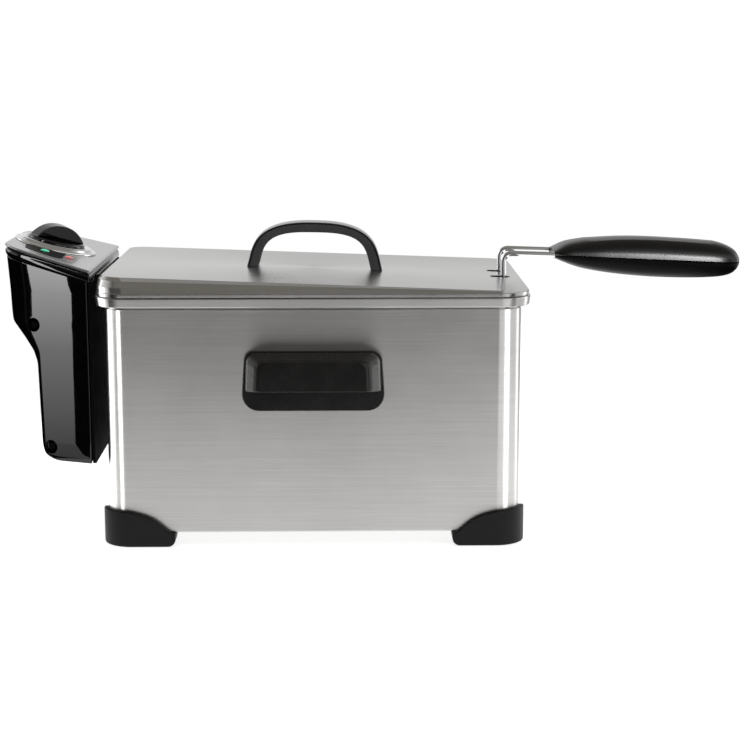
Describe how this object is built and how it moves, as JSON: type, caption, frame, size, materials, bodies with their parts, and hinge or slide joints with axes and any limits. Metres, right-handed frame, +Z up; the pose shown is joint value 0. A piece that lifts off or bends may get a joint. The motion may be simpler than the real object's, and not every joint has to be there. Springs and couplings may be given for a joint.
{
  "type": "deep fryer",
  "caption": "Rectangular stainless deep fryer with lift-off lid, frying basket on a detachable handle, and a removable control unit that carries the heating element.",
  "frame": {"origin": "on the table under the middle of the whole object's bounding box, control unit and basket handle included", "axes": "+X from the control unit towards the basket handle, +Y towards the rear wall, +Z up"},
  "size_m": [0.5916, 0.2576, 0.243],
  "materials": {
    "stainless": "horizontally brushed stainless sheet",
    "pan_steel": "satin drawn steel",
    "bracket_steel": "plain stainless strip",
    "zinc": "zinc plated steel",
    "chrome": "polished plate",
    "element_sheath": "oxidised heater sheath",
    "brass": "plain drawn brass",
    "black_gloss": "piano black moulding",
    "black_satin": "fine satin moulding",
    "grey_handle": "charcoal moulding",
    "panel_silver": "silver lacquered moulding",
    "bakelite": "dark thermoset",
    "ceramic": "unglazed steatite",
    "rubber": "moulded rubber",
    "lens_green": "clear tinted lens",
    "lens_red": "clear tinted lens"
  },
  "bodies": {
    "body": {"housing_shell": "stainless", "base_plate": "zinc", "foot_front_left": "black_satin", "foot_front_right": "black_satin", "foot_rear_left": "black_satin", "foot_rear_right": "black_satin", "foot_pad_front_left": "rubber", "foot_pad_front_right": "rubber", "foot_pad_rear_left": "rubber", "foot_pad_rear_right": "rubber", "side_grip_front": "black_satin", "side_grip_rear": "black_satin", "grip_clip_front_left": "zinc", "grip_clip_front_right": "zinc", "grip_clip_rear_left": "zinc", "grip_clip_rear_right": "zinc"},
    "pan": {"oil_pan": "pan_steel"},
    "control_unit": {"control_housing": "black_gloss", "control_back_plate": "black_satin", "panel_bezel": "black_gloss", "panel_plate": "panel_silver", "dial_ring": "chrome", "thermostat": "bakelite", "lamp_green": "lens_green", "lamp_red": "lens_red", "thermal_cutout": "bakelite", "cable_gland": "black_satin", "terminal_block": "ceramic", "relay": "bakelite", "heating_element": "element_sheath", "sensor_tube": "brass", "element_bracket": "bracket_steel", "cover_screw_front_upper": "zinc", "cover_screw_front_lower": "zinc", "cover_screw_rear_upper": "zinc", "cover_screw_rear_lower": "zinc"},
    "dial": {"dial_knob": "black_gloss", "dial_shaft": "zinc"},
    "reset": {"reset_button": "lens_red"},
    "basket": {"basket_shell": "chrome", "basket_rim": "chrome", "basket_foot_front": "chrome", "basket_foot_rear": "chrome", "handle_socket": "bracket_steel"},
    "lid": {"lid_shell": "stainless", "lid_handle": "grey_handle", "lid_screw_left": "zinc", "lid_screw_right": "zinc"},
    "handle": {"handle_wire_front": "chrome", "handle_wire_rear": "chrome", "grip_upper": "black_satin", "grip_lower": "black_satin", "grip_screw": "zinc"}
  },
  "joints": [
    {"name": "pan_lift", "type": "slide", "parent": "body", "child": "pan", "axis": [0, 0, 1], "range_m": [0, 0.165]},
    {"name": "control_lift", "type": "slide", "parent": "pan", "child": "control_unit", "axis": [0, 0, 1], "range_m": [0, 0.15]},
    {"name": "basket_lift", "type": "slide", "parent": "control_unit", "child": "basket", "axis": [0, 0, 1], "range_m": [0, 0.14]},
    {"name": "lid_lift", "type": "slide", "parent": "basket", "child": "lid", "axis": [0, 0, 1], "range_m": [0, 0.1]},
    {"name": "handle_lift", "type": "slide", "parent": "lid", "child": "handle", "axis": [0, 0, 1], "range_m": [0, 0.06]},
    {"name": "dial_turn", "type": "hinge", "parent": "control_unit", "child": "dial", "pos_m": [-0.2622, 0, 0.2235], "axis": [0.2425, 0, 0.9701], "range_deg": [0, 270]},
    {"name": "reset_press", "type": "slide", "parent": "control_unit", "child": "reset", "axis": [0, 0, 1], "range_m": [0, 0.0016], "stiffness_N_per_m": 400}
  ]
}
